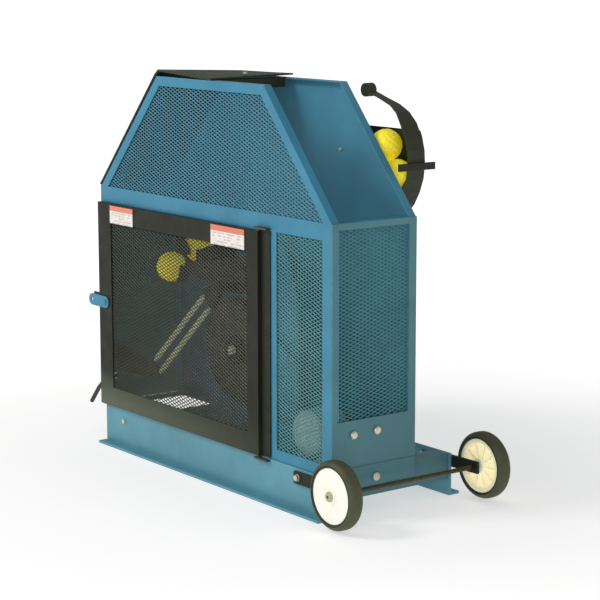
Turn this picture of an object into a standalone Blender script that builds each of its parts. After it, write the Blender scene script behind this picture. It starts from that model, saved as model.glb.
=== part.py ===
"""Arm-type baseball pitching machine: a caged, spring-driven throwing arm on a wheeled base.

Frame: +X is the pitching direction (wheel end), -Y is the door side, +Z is up.
Shapes are laid out from a point under the middle of the cage. finish() then moves everything so that the
origin is the middle of the near rail's underside, on the floor. All lengths are in metres.
"""
import math

import bmesh
import bpy
from mathutils import Vector
from mathutils.geometry import tessellate_polygon

# ---------------------------------------------------------------- cage
HALF_LEN = 0.460
HALF_WID = 0.115
BASE_TOP = 0.107
SHOULDER = 0.653
TOP = 0.931
TOP_X0 = -0.205
TOP_X1 = 0.219
SHEET = 0.003
LEG = 0.020
GAP = 0.0003
FLOOR_Z = BASE_TOP + GAP
RAIL_FACE = 0.022
MESH_T = 0.0015
GUARD_END = 0.018
PANEL_BOLTS = ((-0.058, 0.1955), (0.0065, 0.197), (0.0045, 0.095))
BOLT_R = 0.0048
BOLT_HEAD_R = 0.0095
BOLT_HEAD_H = 0.006
BOLT_LEN = 0.016

# ---------------------------------------------------------------- base and wheels
NEAR_WEB = -0.118
FAR_WEB = 0.236
WEB_T = 0.006
FLANGE = 0.024
RAIL_X0 = -0.450
RAIL_X1 = 0.448
FOOT_Z = 0.010
FOOT_Y = NEAR_WEB + 0.5 * (WEB_T - FLANGE)
CROSS_Z = 0.048
AXLE_X = 0.520
AXLE_Z = 0.090
AXLE_R = 0.005
WHEEL_R = 0.075
HUB_R = 0.0605
WHEEL_W = 0.036

# ---------------------------------------------------------------- door
DOOR_X0 = -0.460
DOOR_X1 = 0.211
DOOR_Z0 = 0.109
DOOR_Z1 = 0.614
DOOR_FRONT = -0.127
DOOR_BACK = -0.117
DOOR_WINDOW = (-0.402, 0.170, 0.157, 0.568)
HINGE_X = 0.207
STRIP_X1 = 0.2445
HINGE_Y = -0.122
LATCH_X = -0.4285
LATCH_TAIL = -0.490
LATCH_Z = 0.3675

# ---------------------------------------------------------------- throwing mechanism
SHAFT_X = 0.033
SHAFT_Z = 0.484
SHAFT_R = 0.0125
BALL_R = 0.0365
HAND_X = -0.259
HAND_Z = 0.469
HAND_Y = -0.044
HAND_T = 0.004
ARM_Y = -0.030
ARM_T = 0.012
CRANK_R = 0.046
PULL_ANGLE = math.radians(221.2)
SPRING_Y = -0.088
SPRING_R = 0.0065
SPRING_STEP = 0.017
SPRING_S0 = 0.050
SPRING_S1 = 0.342
ANCHOR_S = 0.374
ANCHOR_BORE = 0.0065
YOKE_HALF = 0.0055

# ---------------------------------------------------------------- drive
DRIVE_X = -0.074
DRIVE_Z = 0.287
DRIVE_R = 0.115
DRIVE_SHAFT_R = 0.008
DRIVE_Y0 = 0.011
DRIVE_Y1 = 0.023
MOTOR_X = 0.330
MOTOR_Z = 0.175
MOTOR_R = 0.055
MOTOR_PULLEY_R = 0.030
SPROCKET_BIG = 0.060
SPROCKET_SMALL = 0.035
CHAIN_Y0 = 0.060
CHAIN_Y1 = 0.066

# ---------------------------------------------------------------- feed and hopper
CHUTE_HALF = 0.045
CHUTE_Z = 0.465
CHUTE_Y0 = -0.002
CHUTE_RISE = 0.14
HOP_Y0 = HALF_WID + 0.0005
HOP_Y1 = 0.192
HOP_T = 0.003
FEED_Z = 0.486
GATE_X = HAND_X - 0.052
GATE_Z = 0.570
CORD_Y = -0.083
CORD_Z = 0.171

COLOURS = {
    "blue_paint": ((0.060, 0.270, 0.390), 0.42, 0.0),
    "blue_paint_dark": ((0.045, 0.180, 0.260), 0.50, 0.0),
    "blue_mesh": ((0.050, 0.220, 0.330), 0.50, 0.0),
    "black_steel": ((0.022, 0.022, 0.017), 0.45, 0.0),
    "black_mesh": ((0.020, 0.020, 0.016), 0.50, 0.0),
    "black_sheet": ((0.030, 0.031, 0.024), 0.60, 0.0),
    "zinc_steel": ((0.620, 0.620, 0.580), 0.35, 1.0),
    "spring_steel": ((0.550, 0.560, 0.550), 0.30, 1.0),
    "cast_grey": ((0.110, 0.120, 0.120), 0.60, 0.4),
    "motor_grey": ((0.360, 0.430, 0.430), 0.45, 0.1),
    "tyre_rubber": ((0.055, 0.056, 0.042), 0.75, 0.0),
    "hub_plastic": ((0.860, 0.840, 0.760), 0.40, 0.0),
    "ball_yellow": ((0.830, 0.700, 0.060), 0.45, 0.0),
    "label_white": ((0.850, 0.820, 0.780), 0.50, 0.0),
    "cord_black": ((0.020, 0.020, 0.020), 0.60, 0.0),
    "switch_red": ((0.550, 0.040, 0.030), 0.35, 0.0),
}


# ================================================================ helpers
def clear_scene():
    for ob in list(bpy.data.objects):
        bpy.data.objects.remove(ob, do_unlink=True)


def material(slot):
    found = bpy.data.materials.get(slot)
    if found:
        return found
    colour, rough, metal = COLOURS[slot]
    mat = bpy.data.materials.new(slot)
    mat.use_nodes = True
    bsdf = mat.node_tree.nodes["Principled BSDF"]
    bsdf.inputs["Base Color"].default_value = (*colour, 1.0)
    bsdf.inputs["Roughness"].default_value = rough
    bsdf.inputs["Metallic"].default_value = metal
    mat.diffuse_color = (*colour, 1.0)
    return mat


def finish(name, bm, slot, origin=(0.0, 0.0, 0.0), smooth=False):
    """Turn a closed bmesh into a named object whose origin is the given point."""
    bmesh.ops.recalc_face_normals(bm, faces=bm.faces)
    bmesh.ops.translate(bm, verts=bm.verts, vec=-Vector(origin))
    mesh = bpy.data.meshes.new(name)
    bm.to_mesh(mesh)
    bm.free()
    if smooth:
        mesh.shade_smooth()
        mesh.set_sharp_from_angle(angle=math.radians(32))
    ob = bpy.data.objects.new(name, mesh)
    ob.location = Vector(origin) - Vector((0.0, FOOT_Y, FOOT_Z))
    bpy.context.scene.collection.objects.link(ob)
    ob.data.materials.append(material(slot))
    return ob


def place(plane, a, b, h):
    """Map sheet coordinates (a, b) and height h of a named plane to space."""
    if plane == "XZ":
        return Vector((a, h, b))
    if plane == "YZ":
        return Vector((h, a, b))
    return Vector((a, b, h))


def ring_verts(bm, plane, loop, h):
    return [bm.verts.new(place(plane, a, b, h)) for a, b in loop]


def wall(bm, low, high):
    count = len(low)
    for i in range(count):
        j = (i + 1) % count
        bm.faces.new((low[i], low[j], high[j], high[i]))


def skin(bm, rings, closed=False):
    """Join a row of rings; a ring of one vertex closes the end to a point."""
    pairs = list(zip(rings, rings[1:]))
    if closed:
        pairs.append((rings[-1], rings[0]))
    for a, b in pairs:
        if len(a) > 1 and len(b) > 1:
            wall(bm, a, b)
            continue
        tip = a[0] if len(a) == 1 else b[0]
        ring = b if len(a) == 1 else a
        for i in range(len(ring)):
            bm.faces.new((tip, ring[i], ring[(i + 1) % len(ring)]))


def cap(bm, loops, rings):
    """Triangulate a flat face bounded by the first loop with the others as holes."""
    flat = [v for ring in rings for v in ring]
    polys = [[Vector((a, b, 0.0)) for a, b in loop] for loop in loops]
    for tri in tessellate_polygon(polys):
        bm.faces.new([flat[i] for i in tri])


def sheet(name, slot, plane, outer, holes, h0, h1, origin=(0.0, 0.0, 0.0), smooth=False, warp=None):
    """Flat sheet or block: an outline with holes, thickness from h0 to h1."""
    bm = bmesh.new()
    loops = [outer] + holes
    low = [ring_verts(bm, plane, loop, h0) for loop in loops]
    high = [ring_verts(bm, plane, loop, h1) for loop in loops]
    for a, b in zip(low, high):
        wall(bm, a, b)
    cap(bm, loops, low)
    cap(bm, loops, high)
    if warp:
        for v in bm.verts:
            v.co = warp(v.co)
    return finish(name, bm, slot, origin, smooth)


def rimmed_sheet(name, slot, plane, outer, holes, face, back, rim, origin=(0.0, 0.0, 0.0)):
    """Sheet with its outer edge folded back as a rim, like a welded angle frame."""
    bm = bmesh.new()
    inner = inset(outer, SHEET)
    face_rings = [ring_verts(bm, plane, loop, face) for loop in [outer] + holes]
    rim_out = ring_verts(bm, plane, outer, rim)
    rim_in = ring_verts(bm, plane, inner, rim)
    back_rings = [ring_verts(bm, plane, loop, back) for loop in [inner] + holes]
    cap(bm, [outer] + holes, face_rings)
    cap(bm, [inner] + holes, back_rings)
    cap(bm, [outer, inner], [rim_out, rim_in])
    wall(bm, face_rings[0], rim_out)
    wall(bm, rim_in, back_rings[0])
    for a, b in zip(face_rings[1:], back_rings[1:]):
        wall(bm, a, b)
    return finish(name, bm, slot, origin)


def pinned_sheet(name, slot, plane, outer, face, back, pin, tip, origin=(0.0, 0.0, 0.0)):
    """Block from face to back with a round pin standing on its back up to tip."""
    bm = bmesh.new()
    front = ring_verts(bm, plane, outer, face)
    rear = ring_verts(bm, plane, outer, back)
    foot = ring_verts(bm, plane, pin, back)
    end = ring_verts(bm, plane, pin, tip)
    wall(bm, front, rear)
    wall(bm, foot, end)
    cap(bm, [outer], [front])
    cap(bm, [outer, pin], [rear, foot])
    cap(bm, [pin], [end])
    return finish(name, bm, slot, origin)


def lathe(name, slot, centre, profile, closed=False, steps=32, origin=None):
    """Turn a profile of (radius, y) points about the Y axis through centre (x, z)."""
    bm = bmesh.new()
    cx, cz = centre
    rings = []
    for radius, y in profile:
        if radius < 1e-6:
            rings.append([bm.verts.new((cx, y, cz))])
            continue
        ring = []
        for i in range(steps):
            ang = math.tau * i / steps
            ring.append(bm.verts.new((cx + radius * math.cos(ang), y, cz + radius * math.sin(ang))))
        rings.append(ring)
    skin(bm, rings, closed)
    where = origin or (cx, 0.0, cz)
    return finish(name, bm, slot, where, smooth=True)


def circle(cx, cy, radius, steps=24, start=0.0):
    out = []
    for i in range(steps):
        ang = start + math.tau * i / steps
        out.append((cx + radius * math.cos(ang), cy + radius * math.sin(ang)))
    return out


def box_loop(a0, a1, b0, b1):
    return [(a0, b0), (a1, b0), (a1, b1), (a0, b1)]


def inset(loop, d):
    """Move every edge of a convex counter-clockwise outline inward by d."""
    out = []
    count = len(loop)
    for i in range(count):
        p = Vector(loop[i - 1])
        q = Vector(loop[i])
        r = Vector(loop[(i + 1) % count])
        u = (q - p).normalized()
        w = (r - q).normalized()
        n1 = Vector((-u.y, u.x))
        n2 = Vector((-w.y, w.x))
        bis = n1 + n2
        bis = bis * (d / bis.dot(n1))
        out.append((q.x + bis.x, q.y + bis.y))
    return out


def hull(points):
    """Convex outline around a set of points, counter-clockwise."""
    pts = sorted(set((round(a, 7), round(b, 7)) for a, b in points))

    def half(seq):
        chain = []
        for p in seq:
            while len(chain) > 1:
                o, q = chain[-2], chain[-1]
                if (q[0] - o[0]) * (p[1] - o[1]) - (q[1] - o[1]) * (p[0] - o[0]) > 1e-12:
                    break
                chain.pop()
            chain.append(p)
        return chain[:-1]

    return half(pts) + half(pts[::-1])


def strip_outline(path, thick, roll=0.0):
    """Outline of a bent strip that follows a path, with an optional solid rolled end."""
    left = []
    right = []
    count = len(path)
    for i in range(count):
        p = Vector(path[max(i - 1, 0)])
        q = Vector(path[i])
        r = Vector(path[min(i + 1, count - 1)])
        u = (q - p).normalized() if i else (r - q).normalized()
        w = (r - q).normalized() if i < count - 1 else u
        n1 = Vector((-u.y, u.x))
        n2 = Vector((-w.y, w.x))
        bis = n1 + n2
        bis = bis * (0.5 * thick / bis.dot(n1))
        left.append((q.x + bis.x, q.y + bis.y))
        right.append((q.x - bis.x, q.y - bis.y))
    end = []
    if roll:
        tip = Vector(path[-1]) + w * roll
        back = math.atan2(-w.y, -w.x)
        for i in range(1, 16):
            ang = back - math.tau * i / 16.0
            end.append((tip.x + roll * math.cos(ang), tip.y + roll * math.sin(ang)))
    return left + end + right[::-1]


# ================================================================ shared outlines
def cage_outline():
    return [
        (-HALF_LEN, FLOOR_Z),
        (HALF_LEN, FLOOR_Z),
        (HALF_LEN, SHOULDER),
        (TOP_X1, TOP),
        (TOP_X0, TOP),
        (-HALF_LEN, SHOULDER),
    ]


def upper_window():
    """Opening of the roof-shaped upper panel, inside its angle members."""
    upper = [(-HALF_LEN, SHOULDER), (HALF_LEN, SHOULDER), (TOP_X1, TOP), (TOP_X0, TOP)]
    loop = inset(upper, RAIL_FACE)
    span = (TOP - RAIL_FACE - SHOULDER) / (TOP - 2 * RAIL_FACE - SHOULDER)
    low_left = loop[3][0] + (loop[0][0] - loop[3][0]) * span
    low_right = loop[2][0] + (loop[1][0] - loop[2][0]) * span
    return [(low_left, SHOULDER), (low_right, SHOULDER), loop[2], loop[3]]


def pull(s, t=0.0):
    """Point on the spring line: s along the pull from the crank pin, t across it."""
    ux, uz = math.cos(PULL_ANGLE), math.sin(PULL_ANGLE)
    px = SHAFT_X + CRANK_R * ux
    pz = SHAFT_Z + CRANK_R * uz
    return (px + s * ux - t * uz, pz + s * uz + t * ux)


# ================================================================ base
def rail(name, web_out, side):
    """Long base rail: upright web with a flat bottom flange turned outward."""
    web_in = web_out - side * WEB_T
    tip = web_out + side * FLANGE
    loop = [
        (tip, FOOT_Z),
        (web_in, FOOT_Z),
        (web_in, BASE_TOP),
        (web_out, BASE_TOP),
        (web_out, FOOT_Z + WEB_T),
        (tip, FOOT_Z + WEB_T),
    ]
    sheet(name, "blue_paint", "YZ", loop, [], RAIL_X0, RAIL_X1)


def cross_member(name, x0, x1):
    """Channel between the two rails, open towards the rear and clear of the floor."""
    t = 0.004
    loop = [
        (x0, CROSS_Z),
        (x1, CROSS_Z),
        (x1, BASE_TOP),
        (x0, BASE_TOP),
        (x0, BASE_TOP - t),
        (x1 - t, BASE_TOP - t),
        (x1 - t, CROSS_Z + t),
        (x0, CROSS_Z + t),
    ]
    y0 = NEAR_WEB + WEB_T + GAP
    y1 = FAR_WEB - WEB_T - GAP
    sheet(name, "blue_paint_dark", "XZ", loop, [], y0, y1)


def floor_pan():
    edge = HALF_LEN - 0.0135
    outer = box_loop(-edge, edge, -0.0947, 0.0947)
    opening = box_loop(-0.408, -0.276, -0.016, 0.084)
    sheet("floor_pan", "blue_paint_dark", "XY", outer, [opening], FLOOR_Z, FLOOR_Z + SHEET)


def base_parts():
    rail("base_rail_near", NEAR_WEB, -1)
    rail("base_rail_far", FAR_WEB, 1)
    cross_member("base_cross_front", 0.400, 0.444)
    cross_member("base_cross_rear", -0.262, -0.218)
    floor_pan()


# ================================================================ cage
def side_frame_near():
    door_way = box_loop(-0.420, 0.190, 0.150, 0.580)
    side_way = box_loop(0.264, 0.429, 0.132, 0.616)
    holes = [door_way, side_way, upper_window()]
    face = -HALF_WID
    back = face + SHEET
    rimmed_sheet("side_frame_near", "blue_paint", "XZ", cage_outline(), holes, face, back, face + LEG)


def side_panel_far():
    feed = box_loop(HAND_X - 0.040, HAND_X + 0.040, FEED_Z, FEED_Z + 0.080)
    main_bore = circle(SHAFT_X, SHAFT_Z, SHAFT_R + 0.0004, 24)
    drive_bore = circle(DRIVE_X, DRIVE_Z, DRIVE_SHAFT_R + 0.0004, 16)
    face = HALF_WID
    holes = [feed, main_bore, drive_bore]
    rimmed_sheet("side_panel_far", "blue_paint", "XZ", cage_outline(), holes, face, face - SHEET, face - LEG)


def end_panel_wheel():
    """Wheel-end panel with a tall mesh window; its lower edge laps over the front cross member."""
    outer = box_loop(-HALF_WID, HALF_WID, 0.078, SHOULDER)
    window = box_loop(-0.102, 0.095, 0.227, 0.639)
    bolts = [circle(y, z, BOLT_R + 0.0004, 12) for y, z in PANEL_BOLTS]
    x0 = HALF_LEN + GAP
    sheet("end_panel_wheel", "blue_paint_dark", "YZ", outer, [window] + bolts, x0, x0 + SHEET)


def panel_bolt(index, y, z):
    """Cap screw through the wheel-end panel, head outside."""
    bm = bmesh.new()
    x = HALF_LEN + 2 * GAP + SHEET
    crown = x + BOLT_HEAD_H
    tail = x - BOLT_LEN
    profile = [(0.0, crown), (0.75 * BOLT_HEAD_R, crown), (BOLT_HEAD_R, crown - 0.0025), (BOLT_HEAD_R, x)]
    profile += [(BOLT_R, x), (BOLT_R, tail), (0.0, tail)]
    rings = []
    for radius, h in profile:
        if radius == 0.0:
            rings.append([bm.verts.new((h, y, z))])
            continue
        rings.append(ring_verts(bm, "YZ", circle(y, z, radius, 16), h))
    skin(bm, rings)
    finish("panel_bolt_%d" % index, bm, "zinc_steel", smooth=True)


def end_panel_rear():
    outer = box_loop(-HALF_WID, HALF_WID, FLOOR_Z, SHOULDER)
    cord = circle(CORD_Y, CORD_Z, 0.0078, 16)
    switch = box_loop(0.030, 0.060, 0.560, 0.590)
    x1 = -HALF_LEN - GAP
    sheet("end_panel_rear", "blue_paint_dark", "YZ", outer, [cord, switch], x1 - SHEET, x1)


def mesh_panels():
    """Expanded-metal infill behind the near frame and in the wheel-end panel."""
    back = -HALF_WID + SHEET + GAP
    upper = inset(upper_window(), -0.008)
    sheet("mesh_upper", "blue_mesh", "XZ", upper, [], back, back + MESH_T)
    side = box_loop(0.256, 0.437, 0.124, 0.624)
    sheet("mesh_side", "blue_mesh", "XZ", side, [], back, back + MESH_T)
    end = box_loop(-0.1105, 0.1075, 0.218, 0.648)
    x1 = HALF_LEN - SHEET - 2 * GAP
    sheet("mesh_end", "blue_mesh", "YZ", end, [], x1 - MESH_T, x1)


def top_guard():
    """Black guard sheet up the rear slope and over the rear half of the top, a little twisted."""
    path = [(-0.4640, 0.6560), (-0.2110, 0.9340), (-0.1980, 0.9405), (-0.1500, 0.9395)]
    path += [(-0.0900, 0.9380), (-0.0300, 0.9368), (GUARD_END, 0.9362)]
    outline = strip_outline(path, 0.004)

    def twist(co):
        along = (co.x + 0.2) / (GUARD_END + 0.2)
        if along < 0.0:
            return co
        lift = 0.0045 - 0.0068 * along
        return Vector((co.x, co.y, co.z + (lift if co.y < 0.0 else -lift)))

    sheet("top_guard", "black_sheet", "XZ", outline, [], -0.116, 0.116, warp=twist)


def cage_parts():
    side_frame_near()
    side_panel_far()
    end_panel_wheel()
    end_panel_rear()
    mesh_panels()
    top_guard()
    for index, (y, z) in enumerate(PANEL_BOLTS):
        panel_bolt(index + 1, y, z)


# ================================================================ door
def door_parts():
    origin = (HINGE_X, HINGE_Y, DOOR_Z0)
    outer = box_loop(DOOR_X0, DOOR_X1, DOOR_Z0, DOOR_Z1)
    window = box_loop(*DOOR_WINDOW)
    face = DOOR_FRONT
    rimmed_sheet("door_frame", "black_steel", "XZ", outer, [window], face, face + SHEET, DOOR_BACK, origin)
    infill = inset(window, -0.010)
    y0 = face + SHEET + GAP
    sheet("door_mesh", "black_mesh", "XZ", infill, [], y0, y0 + MESH_T, origin)
    y1 = face - GAP
    left = box_loop(-0.402, -0.299, 0.567, 0.610)
    right = box_loop(0.032, 0.162, 0.566, 0.611)
    sheet("label_left", "label_white", "XZ", left, [], y1 - 0.001, y1, origin)
    sheet("label_right", "label_white", "XZ", right, [], y1 - 0.001, y1, origin)


def hinge_parts():
    """Fixed hinge strip and the two lugs whose pins the door swings on."""
    strip = box_loop(HINGE_X + 0.007, STRIP_X1, 0.1103, 0.616)
    y1 = -HALF_WID - GAP
    sheet("hinge_strip", "black_steel", "XZ", strip, [], y1 - SHEET, y1)
    pin = circle(HINGE_X, HINGE_Y, 0.004, 16)
    top = box_loop(HINGE_X - 0.010, STRIP_X1, -0.1290, y1)
    pinned_sheet("hinge_lug_top", "zinc_steel", "XY", top, 0.6225, 0.6185, pin, DOOR_Z1 + GAP)
    low = box_loop(HINGE_X - 0.010, STRIP_X1, -0.1290, NEAR_WEB - GAP)
    pinned_sheet("hinge_lug_bottom", "zinc_steel", "XY", low, 0.1010, 0.1050, pin, DOOR_Z0 - GAP)


def latch_parts():
    """Hasp tab that turns on the door, and the keeper plate behind its tail for a padlock."""
    x1 = -HALF_LEN - 2 * GAP - SHEET
    lock = circle(LATCH_TAIL, LATCH_Z, 0.0045, 16)
    keeper = box_loop(LATCH_TAIL - 0.016, x1, LATCH_Z - 0.016, LATCH_Z + 0.016)
    sheet("latch_keeper", "black_steel", "XZ", keeper, [lock], -HALF_WID, -HALF_WID + SHEET)
    bar = box_loop(LATCH_TAIL, LATCH_X, LATCH_Z - 0.0135, LATCH_Z + 0.0135)
    ends = circle(LATCH_X, LATCH_Z, 0.0145, 20) + circle(LATCH_TAIL, LATCH_Z, 0.0145, 20)
    rivet = circle(LATCH_X, LATCH_Z, 0.006, 16)
    y = DOOR_FRONT - 0.0005
    drilled_tab("door_latch", "blue_paint", hull(bar + ends), lock, rivet, y, (LATCH_X, y, LATCH_Z))


def drilled_tab(name, slot, outer, hole, rivet, back, origin):
    """Flat tab with one through hole and a rivet head standing on its front."""
    bm = bmesh.new()
    front = back - SHEET
    rear_rings = [ring_verts(bm, "XZ", loop, back) for loop in (outer, hole)]
    front_rings = [ring_verts(bm, "XZ", loop, front) for loop in (outer, hole, rivet)]
    head = ring_verts(bm, "XZ", rivet, front - 0.003)
    wall(bm, rear_rings[0], front_rings[0])
    wall(bm, rear_rings[1], front_rings[1])
    wall(bm, front_rings[2], head)
    cap(bm, [outer, hole], rear_rings)
    cap(bm, [outer, hole, rivet], front_rings)
    cap(bm, [rivet], [head])
    return finish(name, bm, slot, origin)


# ================================================================ wheels
def wheel(side, y_in):
    """One plastic-hubbed wheel; y_in is the side next to its arm."""
    out = -1 if side == "near" else 1
    y_out = y_in + out * WHEEL_W
    ys = sorted((y_in, y_out))
    c = 0.006
    tyre = [
        (HUB_R + GAP, ys[0] + 0.003),
        (HUB_R + 0.004, ys[0]),
        (WHEEL_R - c, ys[0]),
        (WHEEL_R, ys[0] + c),
        (WHEEL_R, ys[1] - c),
        (WHEEL_R - c, ys[1]),
        (HUB_R + 0.004, ys[1]),
        (HUB_R + GAP, ys[1] - 0.003),
    ]
    lathe("wheel_%s_tyre" % side, "tyre_rubber", (AXLE_X, AXLE_Z), tyre, closed=True, steps=40)
    face = y_out - out * 0.003
    dish = y_out - out * 0.006
    inner = y_in + out * 0.004
    web = y_in + out * 0.018
    bore = AXLE_R + 0.0003
    hub = [
        (bore, y_out),
        (0.016, y_out),
        (0.018, dish),
        (0.046, dish),
        (0.052, face),
        (HUB_R, face),
        (HUB_R, inner),
        (0.050, inner),
        (0.048, web),
        (0.020, web),
        (0.018, y_in),
        (bore, y_in),
    ]
    lathe("wheel_%s_hub" % side, "hub_plastic", (AXLE_X, AXLE_Z), hub, closed=True, steps=40)


def wheel_arm(name, y0, y1):
    """Flat black bar bolted to a rail; the axle passes through its front end."""
    outer = strip_outline([(0.338, 0.087), (AXLE_X + 0.014, AXLE_Z)], 0.027)
    bore = circle(AXLE_X, AXLE_Z, AXLE_R + 0.0003, 16)
    sheet(name, "black_steel", "XZ", outer, [bore], y0, y1)


def wheel_parts():
    near_in = NEAR_WEB - 0.0120
    far_in = FAR_WEB + 0.0145
    wheel_arm("wheel_arm_near", NEAR_WEB - GAP - 0.006, NEAR_WEB - GAP)
    wheel_arm("wheel_arm_far", FAR_WEB + GAP, FAR_WEB + GAP + 0.006)
    wheel("near", near_in)
    wheel("far", far_in)
    y0 = near_in - WHEEL_W - 0.0005
    y1 = far_in + WHEEL_W + 0.0005
    profile = [(0.0, y0 - 0.004), (0.008, y0 - 0.004), (0.010, y0 - 0.002), (0.010, y0)]
    profile += [(AXLE_R, y0), (AXLE_R, y1), (0.010, y1), (0.010, y1 + 0.002)]
    profile += [(0.008, y1 + 0.004), (0.0, y1 + 0.004)]
    lathe("wheel_axle", "zinc_steel", (AXLE_X, AXLE_Z), profile, steps=20)


# ================================================================ throwing arm
def throw_arm():
    """Flat arm with the crank pin standing on its door side."""
    origin = (SHAFT_X, ARM_Y, SHAFT_Z)
    reach = math.hypot(HAND_X - SHAFT_X, HAND_Z - SHAFT_Z)
    share = (reach - 0.055) / reach
    tip = circle(SHAFT_X + share * (HAND_X - SHAFT_X), SHAFT_Z + share * (HAND_Z - SHAFT_Z), 0.013, 16)
    px, pz = pull(0.0)
    outline = hull(circle(SHAFT_X, SHAFT_Z, 0.042, 32) + circle(px, pz, 0.018, 20) + tip)
    pin = circle(px, pz, 0.009, 20)
    back = ARM_Y + 0.5 * ARM_T
    front = ARM_Y - 0.5 * ARM_T
    pin_end = SPRING_Y - YOKE_HALF - 0.001
    pinned_sheet("throw_arm", "black_steel", "XZ", outline, back, front, pin, pin_end, origin)


def ball_hand():
    """Curved cup under and behind the ball; open ahead of it so the ball can fly out."""
    arc = [math.radians(a) for a in range(190, 371, 12)]
    inner = BALL_R + 0.0007
    outer = inner + HAND_T
    low = [(HAND_X + outer * math.cos(a), HAND_Z + outer * math.sin(a)) for a in arc]
    high = [(HAND_X + inner * math.cos(a), HAND_Z + inner * math.sin(a)) for a in reversed(arc)]
    origin = (SHAFT_X, ARM_Y, SHAFT_Z)
    sheet("ball_hand", "black_steel", "XZ", low + high, [], HAND_Y - 0.002, ARM_Y + ARM_T, origin)


def ball(name, x, y, z, origin=None):
    bm = bmesh.new()
    bmesh.ops.create_uvsphere(bm, u_segments=16, v_segments=10, radius=BALL_R)
    bmesh.ops.translate(bm, verts=bm.verts, vec=(x, y, z))
    ob = finish(name, bm, "ball_yellow", origin or (x, y, z))
    ob.data.shade_smooth()


def crank_shaft():
    """Main shaft with a mounting flange for the arm on its near end."""
    y = ARM_Y + 0.5 * ARM_T + GAP
    profile = [(0.0, y), (0.034, y), (0.036, y + 0.002), (0.036, y + 0.008), (0.020, y + 0.008)]
    profile += [(SHAFT_R, y + 0.014), (SHAFT_R, HALF_WID), (0.0, HALF_WID)]
    lathe("crank_shaft", "zinc_steel", (SHAFT_X, SHAFT_Z), profile, steps=40)


def throw_parts():
    throw_arm()
    ball_hand()
    ball("hand_ball", HAND_X, HAND_Y, HAND_Z, (SHAFT_X, ARM_Y, SHAFT_Z))
    crank_shaft()


# ================================================================ springs
def spring(name, t):
    """One extension spring, drawn as its closed envelope."""
    bm = bmesh.new()
    steps = 16
    radii = [(0.0, SPRING_S0), (0.006, SPRING_S0), (SPRING_R, SPRING_S0 + 0.004)]
    radii += [(SPRING_R, SPRING_S1 - 0.004), (0.006, SPRING_S1), (0.0, SPRING_S1)]
    rings = []
    for radius, s in radii:
        ring = []
        for i in range(steps if radius else 1):
            ang = math.tau * i / steps
            x, z = pull(s, t + radius * math.cos(ang))
            ring.append(bm.verts.new((x, SPRING_Y + radius * math.sin(ang), z)))
        rings.append(ring)
    skin(bm, rings)
    px, pz = pull(0.0)
    finish(name, bm, "spring_steel", (px, SPRING_Y, pz), smooth=True)


def yoke(name, eye_s, eye_r, bore, bar_s0, bar_s1):
    """Plate with a round eye and a cross bar that carries both springs."""
    ex, ez = pull(eye_s)
    bar = [pull(bar_s0, -0.026), pull(bar_s1, -0.026), pull(bar_s1, 0.026), pull(bar_s0, 0.026)]
    outline = hull(circle(ex, ez, eye_r, 24) + bar)
    px, pz = pull(0.0)
    origin = (px, SPRING_Y, pz)
    hole = circle(ex, ez, bore, 20)
    sheet(name, "black_steel", "XZ", outline, [hole], SPRING_Y - YOKE_HALF, SPRING_Y + YOKE_HALF, origin)


def spring_anchor():
    """Tapered bracket standing on the rear panel, with the hole for the springs' lower pivot."""
    ax, az = pull(ANCHOR_S)
    root = [(-HALF_LEN, az - 0.020), (-HALF_LEN, az + 0.045)]
    outline = hull(root + circle(ax, az, 0.015, 24))
    y0 = SPRING_Y + SPRING_R + 0.0010
    bore = circle(ax, az, ANCHOR_BORE, 20)
    sheet("spring_anchor", "black_steel", "XZ", outline, [bore], y0, y0 + 0.010)


def spring_parts():
    yoke("spring_yoke_top", 0.0, 0.018, 0.0093, SPRING_S0 - 0.009, SPRING_S0 - GAP)
    spring("spring_left", SPRING_STEP)
    spring("spring_right", -SPRING_STEP)
    yoke("spring_yoke_bottom", ANCHOR_S, 0.014, ANCHOR_BORE, SPRING_S1 + GAP, SPRING_S1 + 0.009)
    spring_anchor()


# ================================================================ drive
def inner_plate():
    z0 = FLOOR_Z + SHEET + GAP
    outer = [(-0.170, z0), (0.150, z0), (0.150, 0.420), (0.095, 0.555), (-0.030, 0.555), (-0.170, 0.340)]
    holes = [circle(SHAFT_X, SHAFT_Z, 0.0160, 24), circle(DRIVE_X, DRIVE_Z, DRIVE_SHAFT_R + 0.0004, 16)]
    sheet("inner_plate", "blue_paint_dark", "XZ", outer, holes, 0.030, 0.036)


def shaft_bearing():
    y0 = 0.036 + GAP
    ring = [(SHAFT_R + GAP, y0), (0.034, y0), (0.034, y0 + 0.005), (0.022, y0 + 0.014)]
    ring += [(SHAFT_R + GAP, y0 + 0.014)]
    lathe("shaft_bearing", "cast_grey", (SHAFT_X, SHAFT_Z), ring, closed=True, steps=32)


def drive_pulley():
    y0, y1 = DRIVE_Y0, DRIVE_Y1
    r = DRIVE_R
    bore = DRIVE_SHAFT_R + GAP
    ring = [(bore, y0), (0.022, y0), (0.024, y0 + 0.004), (r - 0.016, y0 + 0.004), (r - 0.013, y0)]
    ring += [(r, y0), (r, y1), (r - 0.013, y1), (r - 0.016, y1 - 0.004), (0.024, y1 - 0.004)]
    ring += [(0.022, y1), (bore, y1)]
    lathe("drive_pulley", "cast_grey", (DRIVE_X, DRIVE_Z), ring, closed=True, steps=48)


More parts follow.
